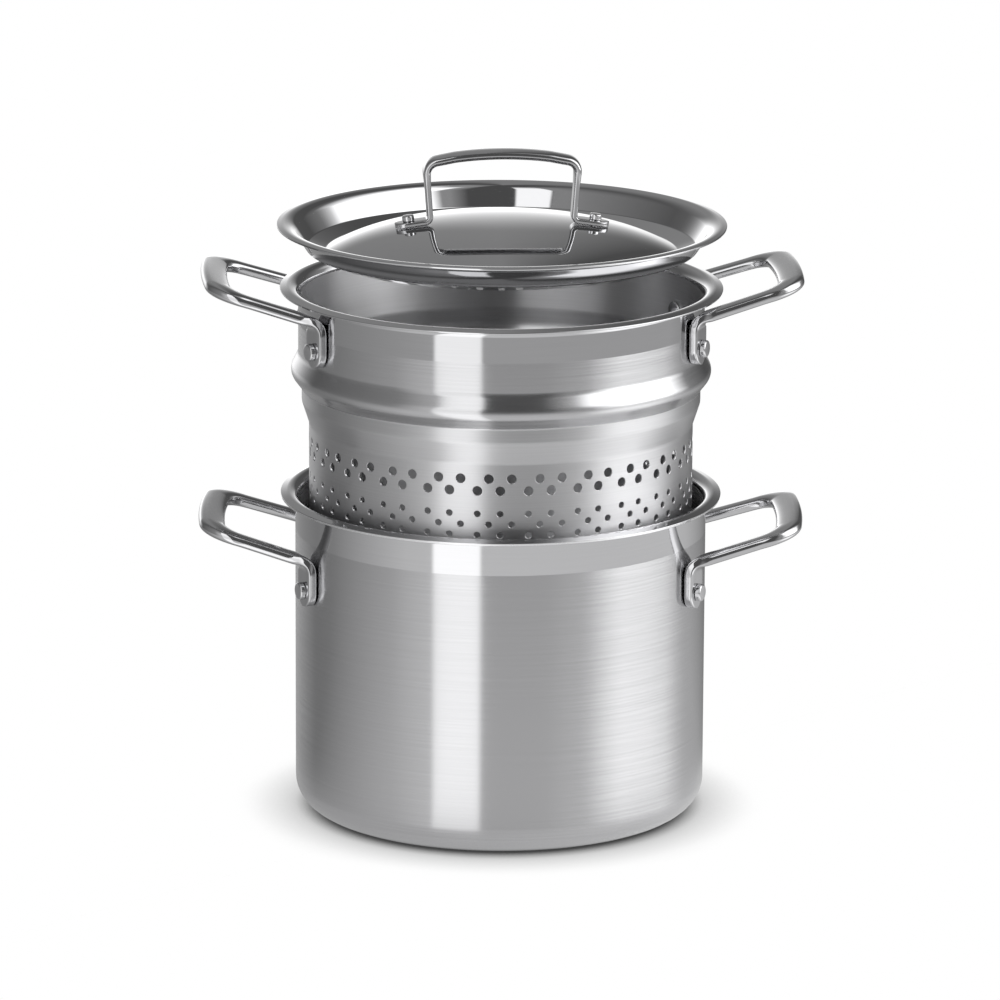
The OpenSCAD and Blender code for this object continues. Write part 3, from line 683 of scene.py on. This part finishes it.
def side_handle(name, node_name, body, wall_r, rivet_z, turn, lift):
    a = foot_turn(wall_r)
    foot_r = wall_r + JOINT_GAP + FOOT_T / 2
    out = Vector((math.cos(a), math.sin(a), 0))
    tip = out * foot_r + Vector((0, 0, rivet_z - FOOT_BELOW))
    bend = out * foot_r + Vector((0, 0, rivet_z + ARM_ABOVE))
    bow = Vector((PAD_BOW * math.cos(LOOP_RISE), 0, PAD_BOW * math.sin(LOOP_RISE)))
    corner_x = wall_r + LOOP_REACH - PAD_W / 2 - bow.x
    corner = Vector((corner_x, (LOOP_W - ARM_W) / 2, bend.z + (corner_x - bend.x) * math.tan(LOOP_RISE)))
    middle = Vector((corner.x, 0, corner.z))
    up = Vector((-math.sin(LOOP_RISE), 0, math.cos(LOOP_RISE)))
    foot = [tip + Vector((0, 0, FOOT_W / 2 * (1 - math.cos(math.pi / 2 * i / FOOT_STEPS))))
            for i in range(1, FOOT_STEPS + 1)]
    grip_end = dense(bend3(bend, corner, middle, LOOP_CORNER, LOOP_CORNER_STEPS) + [middle], LOOP_STEP)
    grip_end = [p + bow * max(0, 1 - (p.y / corner.y) ** 2) for p in grip_end]
    arm = dense([foot[-1]] + bend3(tip, bend, corner, FOOT_BEND) + grip_end[:1], LOOP_STEP)
    route = foot + arm[1:] + grip_end[1:]
    bend_s = bend.z - tip.z
    corner_s = bend_s + (corner - bend).length
    s = FOOT_W / 2 * (1 - math.cos(math.pi / 2 / FOOT_STEPS))
    half = []
    for i, p in enumerate(route):
        if i:
            s += (p - route[i - 1]).length
        t = Vector((0, -1, 0)) if i == len(route) - 1 else heading(route, i)
        blend = ease((s - bend_s + FOOT_BEND) / (ARM_BLEND * FOOT_BEND))
        grip = ease((s - corner_s + LOOP_CORNER * GRIP_LEAD) / (GRIP_BLEND * LOOP_CORNER))
        raw = mix(-out, up, blend)
        n = (raw - t * raw.dot(t)).normalized()
        half_w = mix(foot_half(FOOT_W, s), mix(ARM_W, PAD_W, grip) / 2, blend)
        half_t = mix(FOOT_T, mix(ARM_T, PAD_T, grip), blend) / 2
        half.append((p, t.cross(n) * half_w, n * half_t, mix(FLAT, OVAL, blend)))
    stations = with_mirror(half, Vector((1, -1, 1)))
    swept(name, stations, body, node_name, handle_metal, turn, lift)


for label, side in (("right", 0.0), ("left", math.pi)):
    side_handle("pot_loop_" + label, "pot_handle_" + label, "pot", POT_RO, POT_RIVET_Z, side, 0)
    side_handle("insert_loop_" + label, "insert_handle_" + label, "insert", COLLAR_R, INSERT_RIVET_Z,
                side + INSERT_TURN, INSERT_Z)


# Lid handle
BAR_TOP, BAR_SPAN, BAR_ARCH, BAR_T, BAR_D = 37.4, 78.6, 4.3, 5.0, 13.6
LEG_SPAN, LEG_T, LEG_D, LID_FOOT_T, FOOT_PAST, BAR_CORNER, LEG_BEND = 70.5, 3.2, 11.0, 2.8, 7.0, 6.0, 2.6
BAR_STEP, ARCH_STEPS, ARCH_START = 1.4, 60, 0.3
# Lengths over which foot turns to leg and leg to bar, in radii of the bend there
LEG_BLEND, BAR_LEAD, BAR_BLEND = 2, 2.5, 3.5
rivet_tilt = math.atan(-dome_slope(LID_RIVET_R))


def bar_point(x):
    """Point on the middle line of the arched bar."""
    return Vector((x, 0, BAR_TOP - BAR_T / 2 - BAR_ARCH * (x / (BAR_SPAN / 2)) ** 2))


def lid_handle():
    slope = Vector((math.cos(rivet_tilt), 0, -math.sin(rivet_tilt)))
    normal = Vector((math.sin(rivet_tilt), 0, math.cos(rivet_tilt)))
    seat = Vector((LID_RIVET_R, 0, dome_z(LID_RIVET_R))) + normal * (JOINT_GAP + LID_FOOT_T / 2)
    tip = seat + slope * FOOT_PAST
    bend = seat - slope * (LID_RIVET_R - LEG_SPAN / 2)
    corner = Vector(((BAR_SPAN - LEG_T) / 2, 0, bar_point(BAR_SPAN / 2).z))
    arch = [bar_point(BAR_SPAN * k / ARCH_STEPS) for k in range(round(ARCH_START * ARCH_STEPS), -1, -1)]
    foot = [tip - slope * LEG_D / 2 * (1 - math.cos(math.pi / 2 * i / FOOT_STEPS))
            for i in range(1, FOOT_STEPS + 1)]
    leg_line = bend3(tip, bend, corner, LEG_BEND)
    bar_line = bend3(bend, corner, bar_point(BAR_SPAN * ARCH_START), BAR_CORNER) + arch
    route = foot + dense([foot[-1]] + leg_line + bar_line, BAR_STEP)[1:]
    bend_s = (bend - tip).length
    corner_s = bend_s + (corner - bend).length
    s = LEG_D / 2 * (1 - math.cos(math.pi / 2 / FOOT_STEPS))
    half = []
    for i, p in enumerate(route):
        if i:
            s += (p - route[i - 1]).length
        t = Vector((-1, 0, 0)) if i == len(route) - 1 else heading(route, i)
        n = Vector((0, 1, 0)).cross(t)
        leg = ease((s - bend_s + LEG_BEND) / (LEG_BLEND * LEG_BEND))
        bar = ease((s - corner_s + BAR_LEAD * BAR_CORNER) / (BAR_BLEND * BAR_CORNER))
        half_w = mix(foot_half(LEG_D, s), mix(LEG_D, BAR_D, bar) / 2, leg)
        half_t = mix(LID_FOOT_T, mix(LEG_T, BAR_T, bar), leg) / 2
        half.append((p, Vector((0, half_w, 0)), n * half_t, mix(FLAT, mix(LEG_SQUARE, OVAL, bar), leg)))
    stations = with_mirror(half, Vector((-1, 1, 1)))
    swept("lid_bar", stations, "lid", "lid_handle", handle_metal, INSERT_TURN, LID_Z)


lid_handle()


# Rivets
RIVET_R, HEAD_R, HEAD_H, HEAD_EDGE, HEAD_CROWN = 2.5, 4.35, 3.0, 0.9, 0.25
INNER_R, INNER_H, INNER_EDGE, INNER_CROWN, SHANK_LAP = 5.25, 1.2, 0.5, 0.2, 0.3
LID_SHANK_R, LID_HEAD_R, LID_HEAD_H, LID_HEAD_EDGE, LID_SHANK_LAP = 1.7, 3.0, 3.0, 0.7, 0.2
LID_UNDER_H, LID_UNDER_EDGE, LID_UNDER_CROWN = LID_SHANK_R * 2 / 3, 0.4, 0.1
RIVET_SIDES, HEAD_STEPS, CROWN_STEPS, EDGE_SWEEP, CROWN_LEAN = 40, 6, 5, 0.94, 0.12
FOOT_TURNS = (0.4, 0.8, 1.2, math.pi / 2)


def drum(base, top, r, edge, crown):
    """Right half of a head's outline: flat below, rounded edges, slightly crowned top."""
    low = edge / 2
    pts = [(Vector((0, base)), Vector((0, -1))), (Vector((r - low, base)), Vector((0, -1)))]
    pts += [(Vector((r - low + low * math.sin(a), base + low * (1 - math.cos(a)))),
             Vector((math.sin(a), -math.cos(a)))) for a in FOOT_TURNS]
    for k in range(HEAD_STEPS + 1):
        a = math.pi / 2 * k / HEAD_STEPS * EDGE_SWEEP
        pts.append((Vector((r - edge + edge * math.cos(a), top - crown - edge + edge * math.sin(a))),
                    Vector((math.cos(a), math.sin(a)))))
    for k in range(1, CROWN_STEPS + 1):
        x = (r - edge) * (1 - k / CROWN_STEPS)
        pts.append((Vector((x, top - crown * (x / (r - edge)) ** 2)),
                    Vector((CROWN_LEAN * x / r, 1)).normalized()))
    return pts


def upside_down(part, at):
    """The outline turned over, with its base at the given height."""
    return [(Vector((p[0], at - p[1])), Vector((n[0], -n[1]))) for p, n in part]


def shank(r, low, high):
    return [(Vector((0, low)), Vector((0, -1))), (Vector((r, low)), Vector((0, -1))),
            (Vector((r, low)), Vector((1, 0))), (Vector((r, high)), Vector((1, 0))),
            (Vector((r, high)), Vector((0, 1))), (Vector((0, high)), Vector((0, 1)))]


def rivet(name, node_name, body, place, parts):
    """Heads and shank turned about Z, then put in place; the parts are separate closed forms."""
    shell = Shell()
    for part in parts:
        lathe(shell, part, even(RIVET_SIDES), lambda p, n: 0)
    mesh_obj = shell.make(name, [rivet_metal])
    scaled = place.copy()
    scaled.translation *= MM
    normals = [scaled.to_3x3() @ Vector(n) for n in shell.normals]
    mesh_obj.data.transform(scaled)
    mesh_obj.data.normals_split_custom_set([tuple(n) for n in normals])
    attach(mesh_obj, body)
    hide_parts(node_name)


def wall_rivet(name, node_name, body, wall_r, wall_t, z, turn, lift):
    inner_x = math.sqrt((wall_r - wall_t) ** 2 - INNER_R ** 2) - JOINT_GAP
    outer_x = wall_r + FOOT_T + 2 * JOINT_GAP
    parts = [drum(outer_x, outer_x + HEAD_H, HEAD_R, HEAD_EDGE, HEAD_CROWN),
             upside_down(drum(0, INNER_H, INNER_R, INNER_EDGE, INNER_CROWN), inner_x),
             shank(RIVET_R, inner_x - SHANK_LAP, outer_x + SHANK_LAP)]
    place = (Matrix.Translation((0, 0, z + lift)) @ Matrix.Rotation(turn, 4, "Z")
             @ Matrix.Rotation(math.pi / 2, 4, "Y"))
    rivet(name, node_name, body, place, parts)


def lid_rivet(name, node_name, side):
    top = LID_FOOT_T + 2 * JOINT_GAP
    under = -LID_T - 2 * JOINT_GAP
    parts = [drum(top, top + LID_HEAD_H, LID_HEAD_R, LID_HEAD_EDGE, HEAD_CROWN),
             upside_down(drum(0, LID_UNDER_H, LID_HEAD_R, LID_UNDER_EDGE, LID_UNDER_CROWN), under),
             shank(LID_SHANK_R, under - LID_SHANK_LAP, top + LID_SHANK_LAP)]
    place = (Matrix.Translation((0, 0, LID_Z)) @ Matrix.Rotation(INSERT_TURN, 4, "Z")
             @ Matrix.Translation((side * LID_RIVET_R, 0, dome_z(LID_RIVET_R)))
             @ Matrix.Rotation(side * rivet_tilt, 4, "Y"))
    rivet(name, node_name, "lid", place, parts)


for label, side in (("right", 0.0), ("left", math.pi)):
    for end, way in (("front", -1), ("back", 1)):
        sign = way if label == "right" else -way
        tail = label + "_" + end
        wall_rivet("pot_pin_" + tail, "pot_rivet_" + tail, "pot", POT_RO, POT_T, POT_RIVET_Z,
                   side + sign * foot_turn(POT_RO), 0)
        wall_rivet("insert_pin_" + tail, "insert_rivet_" + tail, "insert", COLLAR_R, INSERT_T,
                   INSERT_RIVET_Z, side + sign * foot_turn(COLLAR_R) + INSERT_TURN, INSERT_Z)
for label, side in (("right", 1), ("left", -1)):
    lid_rivet("lid_pin_" + label, "lid_rivet_" + label, side)


# Studio
WHITE = (1, 1, 1, 1)
TO_DEGREES = 180 / math.pi
ALL = (-400, -399, 400, 401)
# Soft panels round the set: azimuth from the camera's side, elevation (each rise start, rise end,
# fall start, fall end, in degrees) and strength
PANELS = [
    (ALL, ALL, 0.10),
    ((-39, -37, -12, -10), (-90, -80, 62, 75), 0.84),
    ((-39, -37, -12, -10), (-9, -4, 62, 75), 0.25),
    ((-39, -37, -12, -10), (15, 25, 62, 75), 0.3),
    ((-62, -42, -39, -37), (-12, -6, 30, 50), 0.36),
    ((-135, -50, -40, -38), (-12, -6, 70, 80), 0.23),
    ((-190, -35, 110, 175), (-90, -80, -9, -5), 0.37),
    ((50, 72, 104, 124), (-7, -1, 20, 34), 2.3),
    ((47, 70, 96, 125), (-48, -38, -22, -17), 0.85),
    ((46, 55, 105, 140), (18, 26, 66, 76), 1.7),
    ((26, 40, 120, 150), (-8, 0, 80, 90), 0.27),
]
# Bright sweep behind the set: where it starts to either side, how it falls off upwards, its strengths
SWEEP_RIGHT, SWEEP_LEFT, SWEEP_FOOT, SWEEP_FALL = (166, 180), (125, 165), (-12, -4), (2, 18)
SWEEP_CURVE, SWEEP_GLOW, SWEEP_BASE = 1.85, 1.33, 0.19


def number(tree, op, a, b=None):
    made = node(tree, "ShaderNodeMath", operation=op)
    for k, v in enumerate((a, b)):
        if v is None:
            continue
        if isinstance(v, (int, float)):
            made.inputs[k].default_value = v
        else:
            tree.links.new(v, made.inputs[k])
    return made.outputs[0]


def rise(tree, x, low, high):
    """0 below low, 1 above high, a straight slope between."""
    made = node(tree, "ShaderNodeMapRange")
    made.inputs["From Min"].default_value = low
    made.inputs["From Max"].default_value = high
    tree.links.new(x, made.inputs["Value"])
    return made.outputs["Result"]


def window(tree, x, a, b, c, d):
    """0 below a, 1 from b to c, 0 above d."""
    up = rise(tree, x, a, b)
    down = number(tree, "SUBTRACT", 1, rise(tree, x, c, d))
    return number(tree, "MULTIPLY", up, down)


def emitter(tree, strength):
    """White glow, as strong as a value in the tree."""
    made = node(tree, "ShaderNodeEmission")
    made.inputs["Color"].default_value = WHITE
    tree.links.new(strength, made.inputs["Strength"])
    return made.outputs[0]


def mix_shader(tree, factor, one, two):
    made = node(tree, "ShaderNodeMixShader")
    for k, link in enumerate((factor, one, two)):
        tree.links.new(link, made.inputs[k])
    return made.outputs[0]


def studio_world():
    """White for the camera; panels and a sweep for everything that the steel mirrors."""
    world = bpy.data.worlds.new("studio")
    bpy.context.scene.world = world
    world.use_nodes = True
    tree = world.node_tree
    tree.nodes.clear()
    split = node(tree, "ShaderNodeSeparateXYZ")
    tree.links.new(node(tree, "ShaderNodeTexCoord").outputs["Generated"], split.inputs[0])
    dx, dy, dz = split.outputs
    turn = number(tree, "ARCTAN2", dx, number(tree, "MULTIPLY", dy, -1))
    azimuth = number(tree, "MULTIPLY", turn, TO_DEGREES)
    elevation = number(tree, "MULTIPLY", number(tree, "ARCSINE", dz), TO_DEGREES)
    total = None
    for az, el, level in PANELS:
        part = number(tree, "MULTIPLY", level, window(tree, azimuth, *az))
        part = number(tree, "MULTIPLY", part, window(tree, elevation, *el))
        total = part if total is None else number(tree, "ADD", total, part)
    behind = number(tree, "ADD", rise(tree, azimuth, *SWEEP_RIGHT),
                    rise(tree, number(tree, "MULTIPLY", azimuth, -1), *SWEEP_LEFT))
    fall = number(tree, "POWER", number(tree, "SUBTRACT", 1, rise(tree, elevation, *SWEEP_FALL)), SWEEP_CURVE)
    sweep = number(tree, "MULTIPLY", fall, rise(tree, elevation, *SWEEP_FOOT))
    sweep = number(tree, "ADD", number(tree, "MULTIPLY", sweep, SWEEP_GLOW), SWEEP_BASE)
    total = number(tree, "ADD", total, number(tree, "MULTIPLY", sweep, behind))
    shine = node(tree, "ShaderNodeBackground")
    tree.links.new(total, shine.inputs["Color"])
    plain = node(tree, "ShaderNodeBackground")
    plain.inputs["Color"].default_value = WHITE
    seen = node(tree, "ShaderNodeLightPath").outputs["Is Camera Ray"]
    chosen = mix_shader(tree, seen, shine.outputs[0], plain.outputs[0])
    tree.links.new(chosen, node(tree, "ShaderNodeOutputWorld").inputs[0])
    world.cycles.sampling_method = "NONE"


studio_world()

# Floor, in metres; its contact shadow is painted
FLOOR, FLOOR_Z, SHADOW_REACH, SHADOW_SAMPLES = 20.0, -0.0002, 0.055, 16
SHADOW_DARK, SHADOW_START, SHADOW_END = (0.05, 0.05, 0.05, 1), 0.1, 0.82
# Mirror rays see a painted pale glow near the pot, with painted shade only right under its rounded foot
GLOW_START, GLOW_EDGE, GLOW_BASE, UNDER_GLOW = (0.0905, 0.0945), (0.13, 0.16), 0.36, 0.04
GLOW_SIDE, GLOW_SIDE_TURNS = 0.35, (-110, 60, 100, 180)
# Farther out they see the studio through it, with a painted pool of light on one side
POOL_EDGE, POOL_TURNS, POOL_GLOW = (0.75, 1.0), (-100, -50, 120, 170), 0.27


def floor_material():
    """White with a painted soft contact shadow for the camera; a painted glow and painted shade for mirror
    rays.
    """
    made = bpy.data.materials.new("floor_white")
    made.use_nodes = True
    tree = made.node_tree
    tree.nodes.clear()
    # Painted contact shadow: ambient occlusion near the pot darkens the white emission that the camera sees
    shade = node(tree, "ShaderNodeAmbientOcclusion", samples=SHADOW_SAMPLES)
    shade.inputs["Distance"].default_value = SHADOW_REACH
    tone = node(tree, "ShaderNodeValToRGB")
    dark, light = tone.color_ramp.elements
    dark.position, dark.color = SHADOW_START, SHADOW_DARK
    light.position, light.color = SHADOW_END, WHITE
    tree.links.new(shade.outputs["AO"], tone.inputs[0])
    white_with_painted_shadow = node(tree, "ShaderNodeEmission")
    tree.links.new(tone.outputs[0], white_with_painted_shadow.inputs["Color"])

    place = node(tree, "ShaderNodeNewGeometry").outputs["Position"]
    length = node(tree, "ShaderNodeVectorMath", operation="LENGTH")
    tree.links.new(place, length.inputs[0])
    out = length.outputs["Value"]
    ends = node(tree, "ShaderNodeSeparateXYZ")
    tree.links.new(place, ends.inputs[0])
    turn = number(tree, "ARCTAN2", ends.outputs[0], number(tree, "MULTIPLY", ends.outputs[1], -1))
    side = window(tree, turn, *(math.radians(a) for a in GLOW_SIDE_TURNS))
    # Painted glow near the pot; inside GLOW_START it drops to UNDER_GLOW, the painted shade under the foot
    glow = number(tree, "ADD", number(tree, "MULTIPLY", side, GLOW_SIDE), GLOW_BASE)
    glow = number(tree, "MULTIPLY", rise(tree, out, *GLOW_START), glow)
    near = emitter(tree, number(tree, "ADD", glow, UNDER_GLOW))

    # Painted pool of light on one side of the floor, seen by mirror rays
    pool = number(tree, "SUBTRACT", 1, rise(tree, out, *POOL_EDGE))
    pool = number(tree, "MULTIPLY", pool, window(tree, turn, *(math.radians(a) for a in POOL_TURNS)))
    painted_light_pool = emitter(tree, number(tree, "MULTIPLY", pool, POOL_GLOW))
    distant = node(tree, "ShaderNodeAddShader")
    tree.links.new(node(tree, "ShaderNodeBsdfTransparent").outputs[0], distant.inputs[0])
    tree.links.new(painted_light_pool, distant.inputs[1])

    mirrored = mix_shader(tree, rise(tree, out, *GLOW_EDGE), near, distant.outputs[0])
    seen = node(tree, "ShaderNodeLightPath").outputs["Is Camera Ray"]
    chosen = mix_shader(tree, seen, mirrored, white_with_painted_shadow.outputs[0])
    tree.links.new(chosen, node(tree, "ShaderNodeOutputMaterial").inputs[0])
    return made


floor_mesh = bpy.data.meshes.new("floor")
floor_mesh.from_pydata([(-FLOOR, -FLOOR, 0), (FLOOR, -FLOOR, 0), (FLOOR, FLOOR, 0), (-FLOOR, FLOOR, 0)],
                       [], [(0, 1, 2, 3)])
floor_mesh.materials.append(floor_material())
floor = bpy.data.objects.new("floor", floor_mesh)
floor.location.z = FLOOR_Z
bpy.context.scene.collection.objects.link(floor)


# Camera, at the photograph's viewing angle; lengths in metres, lens and sensor in millimetres
ELEVATION, AZIMUTH, ROLL, DISTANCE = math.radians(13.71), math.radians(-0.13), math.radians(0.29), 3.4163
AIM = Vector((0, 0, 0.161))
SENSOR, LENS, SHIFT_X, SHIFT_Y, FAR_CLIP = 36.0, 246.2, -0.00054, -0.00986, 100.0


def studio_camera():
    back = Vector((math.sin(AZIMUTH) * math.cos(ELEVATION), -math.cos(AZIMUTH) * math.cos(ELEVATION),
                   math.sin(ELEVATION)))
    across = (-back).cross(Vector((0, 0, 1))).normalized()
    upward = across.cross(-back)
    x_axis = across * math.cos(ROLL) + upward * math.sin(ROLL)
    y_axis = upward * math.cos(ROLL) - across * math.sin(ROLL)
    data = bpy.data.cameras.new("camera")
    data.sensor_width = SENSOR
    data.lens = LENS
    data.shift_x = SHIFT_X
    data.shift_y = SHIFT_Y
    data.clip_end = FAR_CLIP
    made = bpy.data.objects.new("camera", data)
    turned = Matrix((x_axis, y_axis, back)).transposed().to_4x4()
    made.matrix_world = Matrix.Translation(AIM + back * DISTANCE) @ turned
    bpy.context.scene.collection.objects.link(made)
    return made


bpy.context.scene.camera = studio_camera()
bpy.context.scene.view_settings.view_transform = "Standard"
